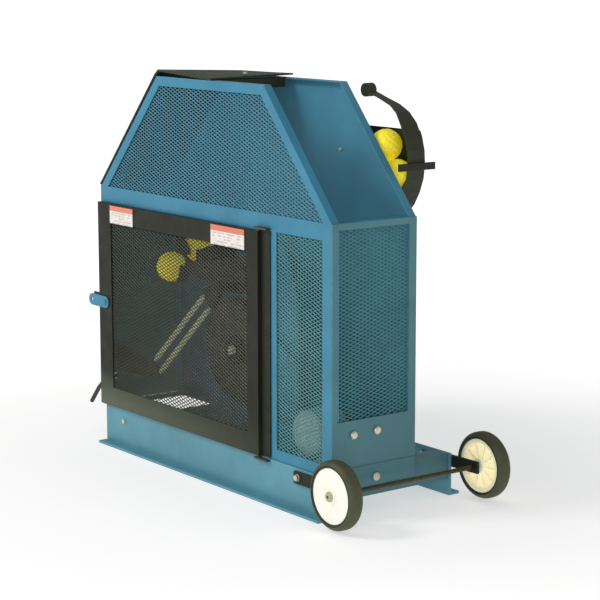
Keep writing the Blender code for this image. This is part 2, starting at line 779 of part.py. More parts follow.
def drive_shaft():
    """Second shaft: bright nut on the near end and the small sprocket turned on it."""
    y0 = DRIVE_Y0 - GAP
    p = [(0.0, y0 - 0.008), (0.010, y0 - 0.008), (0.013, y0 - 0.005), (0.013, y0), (DRIVE_SHAFT_R, y0)]
    p += [(DRIVE_SHAFT_R, CHAIN_Y0), (SPROCKET_SMALL, CHAIN_Y0), (SPROCKET_SMALL, CHAIN_Y1)]
    p += [(DRIVE_SHAFT_R, CHAIN_Y1), (DRIVE_SHAFT_R, HALF_WID), (0.0, HALF_WID)]
    lathe("drive_shaft", "zinc_steel", (DRIVE_X, DRIVE_Z), p, steps=32)


def arm_sprocket():
    b = SHAFT_R + GAP
    ring = [(b, 0.053), (0.026, 0.053), (0.026, CHAIN_Y0), (SPROCKET_BIG, CHAIN_Y0)]
    ring += [(SPROCKET_BIG, CHAIN_Y1), (0.026, CHAIN_Y1), (0.026, 0.073), (b, 0.073)]
    lathe("arm_sprocket", "zinc_steel", (SHAFT_X, SHAFT_Z), ring, closed=True, steps=40)


def loop_drive(name, slot, ends, clear, thick, y0, y1):
    """Chain or belt around two wheels, as one closed loop."""
    inner = []
    outer = []
    for x, z, r in ends:
        inner += circle(x, z, r + clear, 40)
        outer += circle(x, z, r + clear + thick, 40)
    sheet(name, slot, "XZ", hull(outer), [hull(inner)], y0, y1)


def motor():
    """Electric motor on its foot, with its shaft towards the belt side."""
    z0 = FLOOR_Z + SHEET + GAP
    loop = [(MOTOR_X - 0.052, z0), (MOTOR_X + 0.052, z0), (MOTOR_X + 0.052, z0 + 0.008)]
    loop += [(MOTOR_X + 0.040, z0 + 0.010)]
    for a in range(-42, 223, 12):
        ang = math.radians(a)
        loop.append((MOTOR_X + MOTOR_R * math.cos(ang), MOTOR_Z + MOTOR_R * math.sin(ang)))
    loop += [(MOTOR_X - 0.040, z0 + 0.010), (MOTOR_X - 0.052, z0 + 0.008)]
    sheet("motor", "motor_grey", "XZ", loop, [], -0.088, 0.002, smooth=True)


def motor_pulley():
    y0, y1 = DRIVE_Y0, DRIVE_Y1
    p = [(0.0, 0.0023), (0.007, 0.0023), (0.007, y0), (MOTOR_PULLEY_R, y0), (MOTOR_PULLEY_R, y1)]
    p += [(0.012, y1), (0.012, y1 + 0.004), (0.0, y1 + 0.004)]
    lathe("motor_pulley", "cast_grey", (MOTOR_X, MOTOR_Z), p, steps=32)


def drive_parts():
    inner_plate()
    shaft_bearing()
    drive_pulley()
    drive_shaft()
    arm_sprocket()
    chain_ends = [(SHAFT_X, SHAFT_Z, SPROCKET_BIG), (DRIVE_X, DRIVE_Z, SPROCKET_SMALL)]
    loop_drive("drive_chain", "spring_steel", chain_ends, 0.0005, 0.006, CHAIN_Y0, CHAIN_Y1)
    belt_ends = [(DRIVE_X, DRIVE_Z, DRIVE_R), (MOTOR_X, MOTOR_Z, MOTOR_PULLEY_R)]
    loop_drive("drive_belt", "tyre_rubber", belt_ends, 0.0005, 0.006, DRIVE_Y0 + 0.002, DRIVE_Y1 - 0.002)
    motor()
    motor_pulley()


# ================================================================ feed, hopper, power
def feed_chute():
    """Open trough that brings balls from the feed hole to the throwing plane."""
    x0, x1 = HAND_X - CHUTE_HALF, HAND_X + CHUTE_HALF
    z, t, h = CHUTE_Z, 0.002, 0.046
    loop = [(x0, z), (x1, z), (x1, z + h), (x1 - t, z + h), (x1 - t, z + t)]
    loop += [(x0 + t, z + t), (x0 + t, z + h), (x0, z + h)]

    def slope(co):
        return Vector((co.x, co.y, co.z + CHUTE_RISE * (co.y - CHUTE_Y0)))

    sheet("feed_chute", "black_sheet", "XZ", loop, [], CHUTE_Y0, HALF_WID - SHEET - GAP, warp=slope)


def ball_gate():
    """Small flap in front of the chute mouth; it swings up to let one ball drop."""
    low = GATE_Z - 0.075
    flap = [(HAND_X - 0.030, low), (HAND_X + 0.022, low), (HAND_X + 0.022, low + 0.016)]
    flap += [(HAND_X - 0.036, low + 0.050)]
    outline = hull(circle(GATE_X, GATE_Z, 0.008, 12) + flap)
    y1 = CHUTE_Y0 - 0.0008
    sheet("ball_gate", "zinc_steel", "XZ", outline, [], y1 - 0.002, y1, (GATE_X, y1, GATE_Z))


HOPPER_BEND = (
    (0.3400, 0.6440), (0.3600, 0.6640), (0.3780, 0.6930), (0.3900, 0.7230), (0.3945, 0.7540),
    (0.3925, 0.7860), (0.3840, 0.8160), (0.3680, 0.8440), (0.3430, 0.8660), (0.3110, 0.8810),
    (0.2680, 0.8930), (0.2290, 0.9050),
)


def hopper_band():
    """Trough floor bent up at the wheel end into a narrowing, rolled-over lip."""
    floor_z = FEED_Z + 0.001
    path = [(HAND_X - 0.044, 0.6400), (HAND_X - 0.044, floor_z), (HAND_X + 0.044, floor_z)]
    outline = strip_outline(path + list(HOPPER_BEND), HOP_T, roll=0.0155)

    def narrow(co):
        upright = min(max((co.z - 0.655) / 0.060, 0.0), 1.0)
        lip = min(max((co.z - 0.850) / 0.040, 0.0), 1.0)
        low = HOP_Y0 + 0.0305 * upright + 0.024 * lip
        y = low if co.y < 0.15 else HOP_Y1
        return Vector((co.x, y, co.z))

    sheet("hopper_band", "black_sheet", "XZ", outline, [], HOP_Y0, HOP_Y1, warp=narrow)


def hopper_side():
    low = FEED_Z - 0.001
    outline = [(HAND_X - 0.0455, low), (HAND_X + 0.0445, low)]
    outline += [(x + 0.0010, z - 0.0008) for x, z in HOPPER_BEND[:7]]
    outline += [(0.3785, 0.8280), (-0.1200, 0.8280), (HAND_X - 0.0455, 0.6400)]
    y0 = HOP_Y1 + GAP
    sheet("hopper_side", "black_sheet", "XZ", outline, [], y0, y0 + 0.0025)


def hopper_parts():
    feed_chute()
    ball_gate()
    hopper_band()
    hopper_side()
    bar = box_loop(0.3975, 0.4035, 0.7435, 0.7595)
    sheet("hopper_bar", "black_steel", "XZ", bar, [], HOP_Y0, 0.2175)
    mid = 0.5 * (HOP_Y0 + HOP_Y1)
    ball("hopper_ball_1", 0.3100, mid, 0.7930)
    ball("hopper_ball_2", 0.3480, mid, 0.7290)
    ball("chute_ball", HAND_X, CHUTE_Y0 + 0.038, 0.510)


def power_cord():
    """Supply cord leaving the rear panel through its hole and cut off short."""
    bm = bmesh.new()
    pts = [(-0.4560, 0.172), (-0.4780, 0.170), (-0.5080, 0.156), (-0.5440, 0.126), (-0.5800, 0.085)]
    steps = 12
    rings = []
    for i, (x, z) in enumerate(pts):
        a = Vector(pts[max(i - 1, 0)])
        b = Vector(pts[min(i + 1, len(pts) - 1)])
        d = (b - a).normalized()
        ring = []
        for k in range(steps):
            ang = math.tau * k / steps
            off = 0.0055 * math.cos(ang)
            ring.append(bm.verts.new((x - d.y * off, CORD_Y + 0.0055 * math.sin(ang), z + d.x * off)))
        rings.append(ring)
    skin(bm, rings)
    bm.faces.new(rings[0])
    bm.faces.new(rings[-1])
    finish("power_cord", bm, "cord_black", smooth=True)


def power_switch():
    """Rocker switch in the rear panel, turning on a pin along Y."""
    x = -HALF_LEN - GAP - 0.5 * SHEET
    loop = [(x - 0.0075, 0.5620), (x + 0.0060, 0.5640), (x + 0.0060, 0.5860)]
    loop += [(x - 0.0045, 0.5880), (x - 0.0045, 0.5760)]
    sheet("power_switch", "switch_red", "XZ", loop, [], 0.0310, 0.0590, (x, 0.045, 0.575))


def build():
    clear_scene()
    base_parts()
    cage_parts()
    hinge_parts()
    door_parts()
    latch_parts()
    wheel_parts()
    throw_parts()
    spring_parts()
    drive_parts()
    hopper_parts()
    power_cord()
    power_switch()


build()
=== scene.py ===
"""Looks of the baseball pitching machine: strand mesh, balls, springs, wheels, fittings and paint."""
import math

import bmesh
import bpy
import numpy as np
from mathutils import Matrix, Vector


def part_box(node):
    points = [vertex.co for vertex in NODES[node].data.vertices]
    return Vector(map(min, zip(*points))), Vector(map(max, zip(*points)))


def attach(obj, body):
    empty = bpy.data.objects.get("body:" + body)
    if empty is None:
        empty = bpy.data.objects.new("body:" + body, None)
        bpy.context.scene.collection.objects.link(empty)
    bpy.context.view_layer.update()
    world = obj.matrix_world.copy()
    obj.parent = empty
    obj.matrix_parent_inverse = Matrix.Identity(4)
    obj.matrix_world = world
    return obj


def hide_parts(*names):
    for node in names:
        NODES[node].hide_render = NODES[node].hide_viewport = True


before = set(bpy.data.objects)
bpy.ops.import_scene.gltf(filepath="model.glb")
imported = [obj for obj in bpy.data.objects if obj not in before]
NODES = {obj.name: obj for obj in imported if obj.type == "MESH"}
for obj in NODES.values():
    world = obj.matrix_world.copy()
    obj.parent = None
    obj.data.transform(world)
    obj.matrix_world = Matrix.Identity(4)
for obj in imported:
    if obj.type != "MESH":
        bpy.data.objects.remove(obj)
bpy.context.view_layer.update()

# ================================================================ sizes for the looks, in metres
TIGHT = 0.0003
ARM_THICK = 0.012
WASHER_H = 0.0012

DIAMOND_LONG = 0.0190
DIAMOND_SHORT = 0.0084
STRAND_W = 0.0024
STRAND_T = 0.0011
STRAND_TILT = math.radians(38)

BALL_DIMPLES = 150
DIMPLE_DEPTH = 0.0016
DIMPLE_REACH = math.radians(9.2)

WIRE_R = 0.00135
COIL_PITCH = 0.0031
COIL_PLUG = 0.012

TYRE_SHOULDER = 0.013
TYRE_SEAM = 0.0012
HUB_BORE = 0.0054
HUB_RIBS = 10
HUB_WASHER_R = 0.0104
CAP_R = 0.0110
CAP_HOLE = 0.0034
RIB_HALF = 0.0011

CHAIN_PITCH = 0.0127
CHAIN_INWARD = 0.003
LINK_R = 0.0027
LINK_HALF = 0.0004

MOTOR_FINS = 26
MOTOR_BELL = 0.014
MOTOR_FOOT = 0.034
FIN_HALF = 0.0011

FLANGE_LAP = 0.0205
HOUSING_WALL = 0.0015
FLOOR_HALF = 40

CAMERA_PLACE = (3.602, -2.435, 1.176)
CAMERA_AZIMUTH = math.radians(52.70)
CAMERA_DOWN = math.radians(9.81)
CAMERA_LENS = 115.73
CAMERA_SHIFT = (-0.0188, -0.0026)


# ================================================================ small helpers
def srgb(r, g, b):
    """Display colour 0-255 to a linear RGBA tuple."""
    out = []
    for c in (r, g, b):
        c /= 255.0
        out.append(c / 12.92 if c <= 0.04045 else ((c + 0.055) / 1.055) ** 2.4)
    return (*out, 1.0)


def middle(node):
    low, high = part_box(node)
    return (Vector(low) + Vector(high)) * 0.5


def node_points(node):
    mesh = NODES[node].data
    return np.array([v.co[:] for v in mesh.vertices])


def add_piece(name, verts, faces, mat, body, nodes=(), smooth=True, sharp=35):
    """Make a visible piece that rides a body and replaces the named CAD nodes."""
    mesh = bpy.data.meshes.new(name)
    mesh.from_pydata([tuple(v) for v in verts], [], [tuple(f) for f in faces])
    mesh.validate()
    bm = bmesh.new()
    bm.from_mesh(mesh)
    bmesh.ops.recalc_face_normals(bm, faces=bm.faces)
    bm.to_mesh(mesh)
    bm.free()
    if smooth:
        mesh.shade_smooth()
        mesh.set_sharp_from_angle(angle=math.radians(sharp))
    ob = bpy.data.objects.new(name, mesh)
    bpy.context.scene.collection.objects.link(ob)
    ob.data.materials.append(mat)
    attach(ob, body)
    if nodes:
        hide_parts(*nodes)


class Build:
    """Collects several closed shapes into one list of vertices and faces."""

    def __init__(self):
        self.verts = []
        self.faces = []

    def add(self, verts, faces):
        start = len(self.verts)
        self.verts += [tuple(v) for v in verts]
        self.faces += [tuple(i + start for i in f) for f in faces]

    def lathe(self, centre, profile, axis="Y", steps=64, closed=False):
        """Turn (radius, height) points about an axis through centre; radius 0 closes the end."""
        verts = []
        rows = []
        for radius, h in profile:
            count = steps if radius > 1e-7 else 1
            row = []
            for i in range(count):
                a = math.tau * i / steps
                row.append(len(verts))
                verts.append(turn_point(centre, radius, a, h, axis))
            rows.append(row)
        faces = []
        pairs = list(zip(rows, rows[1:]))
        if closed:
            pairs.append((rows[-1], rows[0]))
        for p, q in pairs:
            if len(p) == 1 and len(q) == 1:
                continue
            for i in range(steps):
                j = (i + 1) % steps
                if len(p) == 1:
                    faces.append((p[0], q[j], q[i]))
                elif len(q) == 1:
                    faces.append((p[i], p[j], q[0]))
                else:
                    faces.append((p[i], p[j], q[j], q[i]))
        self.add(verts, faces)

    def block(self, low, high, chamfer=0.0):
        """Box, with all twelve edges rounded where a chamfer is given."""
        c = min(chamfer, 0.45 * min(h - l for l, h in zip(low, high)))
        bm = bmesh.new()
        bmesh.ops.create_cube(bm, size=1.0)
        size = [h - l for l, h in zip(low, high)]
        mid = [0.5 * (h + l) for l, h in zip(low, high)]
        for v in bm.verts:
            v.co = Vector([m + x * s for m, x, s in zip(mid, v.co, size)])
        if c > 0:
            bmesh.ops.bevel(bm, geom=bm.edges[:], offset=c, segments=2, affect="EDGES", profile=0.5)
        bm.verts.index_update()
        self.add([v.co[:] for v in bm.verts], [[v.index for v in f.verts] for f in bm.faces])
        bm.free()

    def tube(self, path, radius, sides=8):
        """Round wire along a path of points, closed at both ends."""
        pts = np.asarray(path, dtype=float)
        tang = np.gradient(pts, axis=0)
        tang /= np.linalg.norm(tang, axis=1)[:, None]
        ref = np.array((0.0, 1.0, 0.0)) if abs(tang[0][1]) < 0.9 else np.array((1.0, 0.0, 0.0))
        side = np.cross(tang[0], ref)
        side /= np.linalg.norm(side)
        rows = []
        verts = []
        for p, t in zip(pts, tang):
            side = side - t * np.dot(side, t)
            side /= np.linalg.norm(side)
            up = np.cross(t, side)
            row = []
            for k in range(sides):
                a = math.tau * k / sides
                row.append(len(verts))
                verts.append(tuple(p + radius * (math.cos(a) * side + math.sin(a) * up)))
            rows.append(row)
        faces = []
        for p, q in zip(rows, rows[1:]):
            for k in range(sides):
                j = (k + 1) % sides
                faces.append((p[k], p[j], q[j], q[k]))
        faces.append(tuple(reversed(rows[0])))
        faces.append(tuple(rows[-1]))
        self.add(verts, faces)

    def hex_head(self, centre, across, height, axis, sign):
        """Hexagon bolt head with a chamfered crown and a washer, standing along sign * axis."""
        w = across * 0.62
        z0 = sign * WASHER_H
        z1 = sign * (WASHER_H + height)
        washer = [(0, 0), (w, 0), (w, sign * 0.0009), (w * 0.96, z0), (0, z0)]
        self.lathe(centre, washer, axis, 24)
        r = across / math.sqrt(3)
        head = [(0, z0), (r, z0), (r, z1 - sign * 0.0008), (r * 0.86, z1), (0, z1)]
        self.lathe(centre, head, axis, 6)


def turn_point(centre, radius, a, h, axis):
    """Point at an angle, radius and height about an axis through centre."""
    c, s = radius * math.cos(a), radius * math.sin(a)
    x, y, z = centre
    if axis == "Y":
        return (x + c, y + h, z + s)
    if axis == "X":
        return (x + h, y + c, z + s)
    return (x + c, y + s, z + h)


# ================================================================ materials
def new_material(name):
    mat = bpy.data.materials.new(name)
    mat.use_nodes = True
    nt = mat.node_tree
    return mat, nt, nt.nodes["Principled BSDF"]


def link(nt, a, b):
    nt.links.new(a, b)


def noise(nt, scale, detail=4.0, rough=0.55):
    coord = nt.nodes.new("ShaderNodeTexCoord")
    tex = nt.nodes.new("ShaderNodeTexNoise")
    tex.inputs["Scale"].default_value = scale
    tex.inputs["Detail"].default_value = detail
    tex.inputs["Roughness"].default_value = rough
    link(nt, coord.outputs["Object"], tex.inputs["Vector"])
    return tex.outputs["Fac"]


def ramp(nt, value, low, high, a, b):
    """Colour ramp from a to b while value goes from low to high."""
    node = nt.nodes.new("ShaderNodeValToRGB")
    node.color_ramp.elements[0].position = low
    node.color_ramp.elements[1].position = high
    node.color_ramp.elements[0].color = a
    node.color_ramp.elements[1].color = b
    link(nt, value, node.inputs["Fac"])
    return node.outputs["Color"]


def spread(nt, value, low, high, a, b):
    """Number from a to b while value goes from low to high."""
    node = nt.nodes.new("ShaderNodeMapRange")
    for key, v in zip(("From Min", "From Max", "To Min", "To Max"), (low, high, a, b)):
        node.inputs[key].default_value = v
    link(nt, value, node.inputs["Value"])
    return node.outputs["Result"]


def mix(nt, fac, a, b):
    node = nt.nodes.new("ShaderNodeMix")
    node.data_type = "RGBA"
    if isinstance(fac, float):
        node.inputs["Factor"].default_value = fac
    else:
        link(nt, fac, node.inputs["Factor"])
    for key, v in (("A", a), ("B", b)):
        socket = [s for s in node.inputs if s.name == key and s.type == "RGBA"][0]
        if isinstance(v, tuple):
            socket.default_value = v
        else:
            link(nt, v, socket)
    return [s for s in node.outputs if s.type == "RGBA"][0]


def scaled(colour, k):
    return (colour[0] * k, colour[1] * k, colour[2] * k, 1.0)


def rounded_normal(nt, bsdf, height, strength, distance, radius):
    """Soft edges from a bevel lookup plus fine surface relief."""
    bevel = nt.nodes.new("ShaderNodeBevel")
    bevel.samples = 4
    bevel.inputs["Radius"].default_value = radius
    bump = nt.nodes.new("ShaderNodeBump")
    bump.inputs["Strength"].default_value = strength
    bump.inputs["Distance"].default_value = distance
    link(nt, height, bump.inputs["Height"])
    link(nt, bevel.outputs["Normal"], bump.inputs["Normal"])
    link(nt, bump.outputs["Normal"], bsdf.inputs["Normal"])
    return bevel


def edge_mask(nt, bevel):
    """1 on edges, where the rounded normal leaves the flat one; these take a lighter colour that is
    edge wear and painted highlight in one.
    """
    geo = nt.nodes.new("ShaderNodeNewGeometry")
    dot = nt.nodes.new("ShaderNodeVectorMath")
    dot.operation = "DOT_PRODUCT"
    link(nt, bevel.outputs["Normal"], dot.inputs[0])
    link(nt, geo.outputs["Normal"], dot.inputs[1])
    return spread(nt, dot.outputs["Value"], 0.98, 0.84, 0.0, 1.0)


def enamel(name, colour, rough, edge=None, peel=0.10, dirt=0.85, radius=0.0016, shine=0.35, low=None):
    """Sprayed enamel: slow colour drift, orange-peel relief, dulled patches and lighter edges, which
    are edge wear and painted highlight together.

    low, where given, is a colour painted as the floor's reflection and the two heights between which
    that painted reflection fades out.
    """
    mat, nt, bsdf = new_material(name)
    drift = noise(nt, 7.0, 5.0)
    base = ramp(nt, drift, 0.3, 0.72, scaled(colour, dirt), scaled(colour, 1.07))
    if low:
        # Painted reflection of the floor on the lower part
        base = mix(nt, floor_reflection_mask(nt, *low[1:]), base, low[0])
    fine = noise(nt, 420.0, 2.0)
    bevel = rounded_normal(nt, bsdf, fine, peel, 0.0005, radius)
    if edge:
        # Noise for the lighter edges, which stand for edge wear and painted highlight together
        wear_and_highlight = noise(nt, 60.0, 6.0, 0.7)
        mask = multiply(nt, edge_mask(nt, bevel), spread(nt, wear_and_highlight, 0.38, 0.62, 0.15, 1.0))
        base = mix(nt, mask, base, edge)
    link(nt, base, bsdf.inputs["Base Color"])
    smudge = noise(nt, 23.0, 6.0, 0.65)
    link(nt, spread(nt, smudge, 0.3, 0.7, rough - 0.07, rough + 0.12), bsdf.inputs["Roughness"])
    bsdf.inputs["Specular IOR Level"].default_value = shine
    return mat


def floor_reflection_mask(nt, bottom, top):
    """Painted floor-reflection mask: 1 below the lower height, 0 above the upper one, and weaker
    towards the wheels.
    """
    coord = nt.nodes.new("ShaderNodeTexCoord")
    split = nt.nodes.new("ShaderNodeSeparateXYZ")
    link(nt, coord.outputs["Object"], split.inputs[0])
    low = spread(nt, split.outputs["Z"], bottom, top, 1.0, 0.0)
    return multiply(nt, low, spread(nt, split.outputs["X"], -0.46, 0.24, 1.0, 0.15))


def metal(name, colour, rough, dull=0.7):
    """Bright metal with fine grain and dulled spots."""
    mat, nt, bsdf = new_material(name)
    bsdf.inputs["Metallic"].default_value = 1.0
    spots = noise(nt, 90.0, 6.0, 0.7)
    base = ramp(nt, spots, 0.32, 0.68, scaled(colour, dull), colour)
    link(nt, base, bsdf.inputs["Base Color"])
    link(nt, spread(nt, spots, 0.3, 0.7, rough + 0.15, rough), bsdf.inputs["Roughness"])
    rounded_normal(nt, bsdf, noise(nt, 700.0, 2.0), 0.08, 0.0004, 0.0008)
    return mat


def rubber(name, colour, rough):
    """Matt rubber with dusty patches and a fine grain."""
    mat, nt, bsdf = new_material(name)
    dust = noise(nt, 35.0, 6.0, 0.6)
    base = ramp(nt, dust, 0.3, 0.75, scaled(colour, 0.75), scaled(colour, 1.35))
    link(nt, base, bsdf.inputs["Base Color"])
    link(nt, spread(nt, dust, 0.3, 0.7, rough - 0.08, rough + 0.12), bsdf.inputs["Roughness"])
    rounded_normal(nt, bsdf, noise(nt, 520.0, 3.0), 0.25, 0.0006, 0.0010)
    return mat


def moulded(name, colour, rough, tint=None, sub=0.0, painted_glow=0.0):
    """Moulded surface with faint cloudiness and slight waviness; glow is emission that brightens it as
    painted light, though the part is no lamp.
    """
    mat, nt, bsdf = new_material(name)
    cloud = noise(nt, 28.0, 4.0)
    base = ramp(nt, cloud, 0.25, 0.75, tint or scaled(colour, 0.93), colour)
    link(nt, base, bsdf.inputs["Base Color"])
    link(nt, spread(nt, cloud, 0.3, 0.7, rough - 0.05, rough + 0.1), bsdf.inputs["Roughness"])
    if sub:
        bsdf.inputs["Subsurface Weight"].default_value = sub
        bsdf.inputs["Subsurface Scale"].default_value = 0.004
    # Emission as painted light, so the part looks brighter than its lighting makes it
    if painted_glow:
        bsdf.inputs["Emission Color"].default_value = colour
        bsdf.inputs["Emission Strength"].default_value = painted_glow
    rounded_normal(nt, bsdf, noise(nt, 260.0, 2.0), 0.06, 0.0005, 0.0008)
    return mat


def snap(nt, value, step):
    """Value rounded down to a whole number of steps."""
    node = nt.nodes.new("ShaderNodeMath")
    node.operation = "SNAP"
    node.inputs[1].default_value = step
    link(nt, value, node.inputs[0])
    return node.outputs["Value"]


def plate_print(name, node, head):
    """Printed plate: a coloured header band over rows of grey bars, with no lettering."""
    rows = 7.0
    low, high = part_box(node)
    mat, nt, bsdf = new_material(name)
    coord = nt.nodes.new("ShaderNodeTexCoord")
    split = nt.nodes.new("ShaderNodeSeparateXYZ")
    link(nt, coord.outputs["Object"], split.inputs[0])
    height = spread(nt, split.outputs["Z"], low[2], high[2], 0.0, 1.0)
    along = spread(nt, split.outputs["X"], low[0], high[0], 0.0, 1.0)
    paper = ramp(nt, noise(nt, 40.0), 0.3, 0.7, srgb(224, 214, 206), srgb(244, 238, 232))
    bars = wave_bars(nt, height, rows)
    blocks = nt.nodes.new("ShaderNodeTexNoise")
    blocks.noise_dimensions = "2D"
    blocks.inputs["Scale"].default_value = 9.0
    combine = nt.nodes.new("ShaderNodeCombineXYZ")
    link(nt, along, combine.inputs["X"])
    link(nt, snap(nt, height, 1.0 / rows), combine.inputs["Y"])
    link(nt, combine.outputs[0], blocks.inputs["Vector"])
    gap = spread(nt, blocks.outputs["Fac"], 0.42, 0.50, 0.0, 1.0)
    inside = inside_mask(nt, along, 0.07, 0.93)
    ink = multiply(nt, multiply(nt, bars, gap), inside)
    base = mix(nt, ink, paper, srgb(196, 186, 178))
    band = spread(nt, height, 0.70, 0.72, 0.0, 0.92)
    base = mix(nt, band, base, head)
    link(nt, base, bsdf.inputs["Base Color"])
    bsdf.inputs["Roughness"].default_value = 0.42
    rounded_normal(nt, bsdf, noise(nt, 300.0), 0.05, 0.0003, 0.0004)
    return mat


def wave_bars(nt, value, count):
    """Rows of equal bars along a 0-1 value."""
    scale = nt.nodes.new("ShaderNodeMath")
    scale.operation = "MULTIPLY"
    scale.inputs[1].default_value = math.tau * count
    link(nt, value, scale.inputs[0])
    wave = nt.nodes.new("ShaderNodeMath")
    wave.operation = "SINE"
    link(nt, scale.outputs["Value"], wave.inputs[0])
    return spread(nt, wave.outputs["Value"], -0.1, 0.25, 0.0, 1.0)


def inside_mask(nt, value, low, high):
    """1 while value is between low and high."""
    a = spread(nt, value, low, low + 0.005, 0.0, 1.0)
    b = spread(nt, value, high, high + 0.005, 1.0, 0.0)
    return multiply(nt, a, b)


def multiply(nt, a, b):
    node = nt.nodes.new("ShaderNodeMath")
    node.operation = "MULTIPLY"
    link(nt, a, node.inputs[0])
    link(nt, b, node.inputs[1])
    return node.outputs["Value"]


BLUE = srgb(56, 133, 163)
# Lighter olive painted on the door frame's bottom as the floor's reflection
FLOOR_REFLECTION = srgb(90, 99, 80)
# The lighter edge colours below are edge wear and painted highlight together.
MAT = {
    # The blue is one paint on the machine; its copies are painted light and shade per part: the rail
    # copy is lighter for the floor's bounce light, the end copy darker for the shaded end faces, and
    # the inner, upper-mesh and lower-mesh copies are set to the light each part gets.
    "blue": enamel("blue_enamel", BLUE, 0.42, srgb(110, 178, 200)),
    "blue_lit_rail": enamel("blue_enamel_rail_painted_light", srgb(93, 154, 171), 0.40, srgb(130, 184, 196)),
    "blue_side": enamel("blue_enamel_inner", srgb(70, 136, 162), 0.44, srgb(120, 180, 200)),
    "blue_shaded_end": enamel("blue_enamel_end_painted_shade", srgb(76, 124, 132), 0.44, srgb(112, 160, 170)),
    "blue_mesh": enamel("blue_strand", srgb(84, 146, 168), 0.44, None, 0.05, 0.88, 0.0003),
    "blue_mesh_low": enamel("blue_strand_low", srgb(86, 146, 150), 0.44, None, 0.05, 0.85, 0.0003),
    "black": enamel("black_enamel", srgb(36, 37, 26), 0.46, srgb(84, 86, 70), 0.12, 0.8, shine=0.25),
    "door": enamel("door_enamel", srgb(31, 33, 21), 0.48, srgb(76, 78, 62), 0.12, 0.8, shine=0.22,
                   low=(FLOOR_REFLECTION, 0.115, 0.190)),
    # The door strands are the door's black paint; this lighter copy is painted highlight on the
    # strands.
    "black_mesh": enamel("black_strand_painted_highlight", srgb(60, 62, 48), 0.40, None, 0.05, 0.85, 0.0003),
    "black_sheet": enamel("black_sheet", srgb(52, 56, 40), 0.50, srgb(90, 94, 74), 0.16, 0.75,
                          shine=0.25),
    "arm": enamel("arm_black", srgb(32, 33, 25), 0.42, srgb(96, 96, 78), 0.14, 0.8, shine=0.3),
    "zinc": metal("zinc_plate", srgb(226, 222, 200), 0.34),
    "axle": metal("axle_steel", srgb(92, 88, 64), 0.40, 0.6),
    # The springs' glow is painted light.
    "spring": moulded("spring_steel", srgb(226, 232, 196), 0.30, srgb(190, 198, 160), 0.0, 0.10),
    "iron": metal("machined_iron", srgb(104, 106, 92), 0.50),
    "cast": enamel("cast_iron", srgb(84, 88, 74), 0.55, srgb(120, 122, 104), 0.2, 0.75),
    "motor": enamel("motor_grey", srgb(190, 206, 200), 0.42, srgb(215, 222, 216)),
    "tyre": rubber("tyre_rubber", srgb(70, 74, 48), 0.60),
    "belt": rubber("belt_rubber", srgb(46, 46, 40), 0.6),
    "cord": rubber("cord_rubber", srgb(42, 42, 38), 0.5),
    # Both hubs are one white plastic; their glow is painted light, and the far hub's yellower,
    # stronger-glowing copy is painted light on the far wheel.
    "hub_near": moulded("hub_plastic", srgb(254, 252, 242), 0.38, srgb(248, 244, 230), 0.12, 0.06),
    "hub_far": moulded("hub_plastic_far_painted_light", srgb(255, 250, 222), 0.38, srgb(250, 240, 206), 0.12, 0.17),
    "cap": moulded("cap_plastic", srgb(176, 186, 144), 0.4),
    # The balls' glow is painted light, brightening the balls that sit in shade.
    "ball": moulded("ball_yellow", srgb(252, 234, 56), 0.45, srgb(244, 220, 42), 0.10, 0.26),
    "switch": moulded("switch_red", srgb(190, 44, 34), 0.3),
    "plate_left": plate_print("plate_left", "label_left", srgb(228, 120, 88)),
    "plate_right": plate_print("plate_right", "label_right", srgb(222, 108, 76)),
}

FINISH = {
    "blue": ["side_frame_near", "door_latch"],
    "blue_lit_rail": ["base_rail_near", "base_rail_far"],
    "blue_side": ["side_panel_far", "inner_plate"],
    "blue_shaded_end": ["base_cross_front", "base_cross_rear", "floor_pan", "end_panel_wheel",
                 "end_panel_rear"],
    "black": ["hinge_strip", "latch_keeper", "wheel_arm_near", "wheel_arm_far", "hopper_bar",
              "spring_anchor"],
    "door": ["door_frame"],
    "black_sheet": ["top_guard", "feed_chute", "hopper_band", "hopper_side"],
    "arm": ["ball_gate", "throw_arm", "ball_hand", "spring_yoke_top", "spring_yoke_bottom"],
    "zinc": ["panel_bolt_1", "panel_bolt_2", "panel_bolt_3", "drive_shaft"],
    "axle": ["wheel_axle"],
    "iron": ["hinge_lug_top", "hinge_lug_bottom", "shaft_bearing", "motor_pulley", "arm_sprocket",
             "crank_shaft"],
    "cast": ["drive_pulley"],
    "belt": ["drive_belt"],
    "cord": ["power_cord"],
    "switch": ["power_switch"],
    "plate_left": ["label_left"],
    "plate_right": ["label_right"],
}


def finish_cad():
    """Give the CAD nodes that stay visible their materials."""
    for key, names in FINISH.items():
        for name in names:
            data = NODES[name].data
            data.materials.clear()
            data.materials.append(MAT[key])


# ================================================================ expanded metal
def outline_of(node, axes):
    """Convex outline of a thin CAD plate in two of its axes."""
    pts = sorted({(round(p[axes[0]], 6), round(p[axes[1]], 6)) for p in node_points(node)})

    def half(seq):
        chain = []
        for p in seq:
            while len(chain) > 1:
                o, q = chain[-2], chain[-1]
                if (q[0] - o[0]) * (p[1] - o[1]) - (q[1] - o[1]) * (p[0] - o[0]) > 0:
                    break
                chain.pop()
            chain.append(p)
        return chain[:-1]

    return half(pts) + half(pts[::-1])


def span_at(outline, b):
    """Lowest and highest first coordinate of the outline at second coordinate b."""
    hits = []
    for (a0, b0), (a1, b1) in zip(outline, outline[1:] + outline[:1]):
        if (b0 - b) * (b1 - b) <= 0 and abs(b1 - b0) > 1e-9:
            hits.append(a0 + (a1 - a0) * (b - b0) / (b1 - b0))
    return min(hits), max(hits)


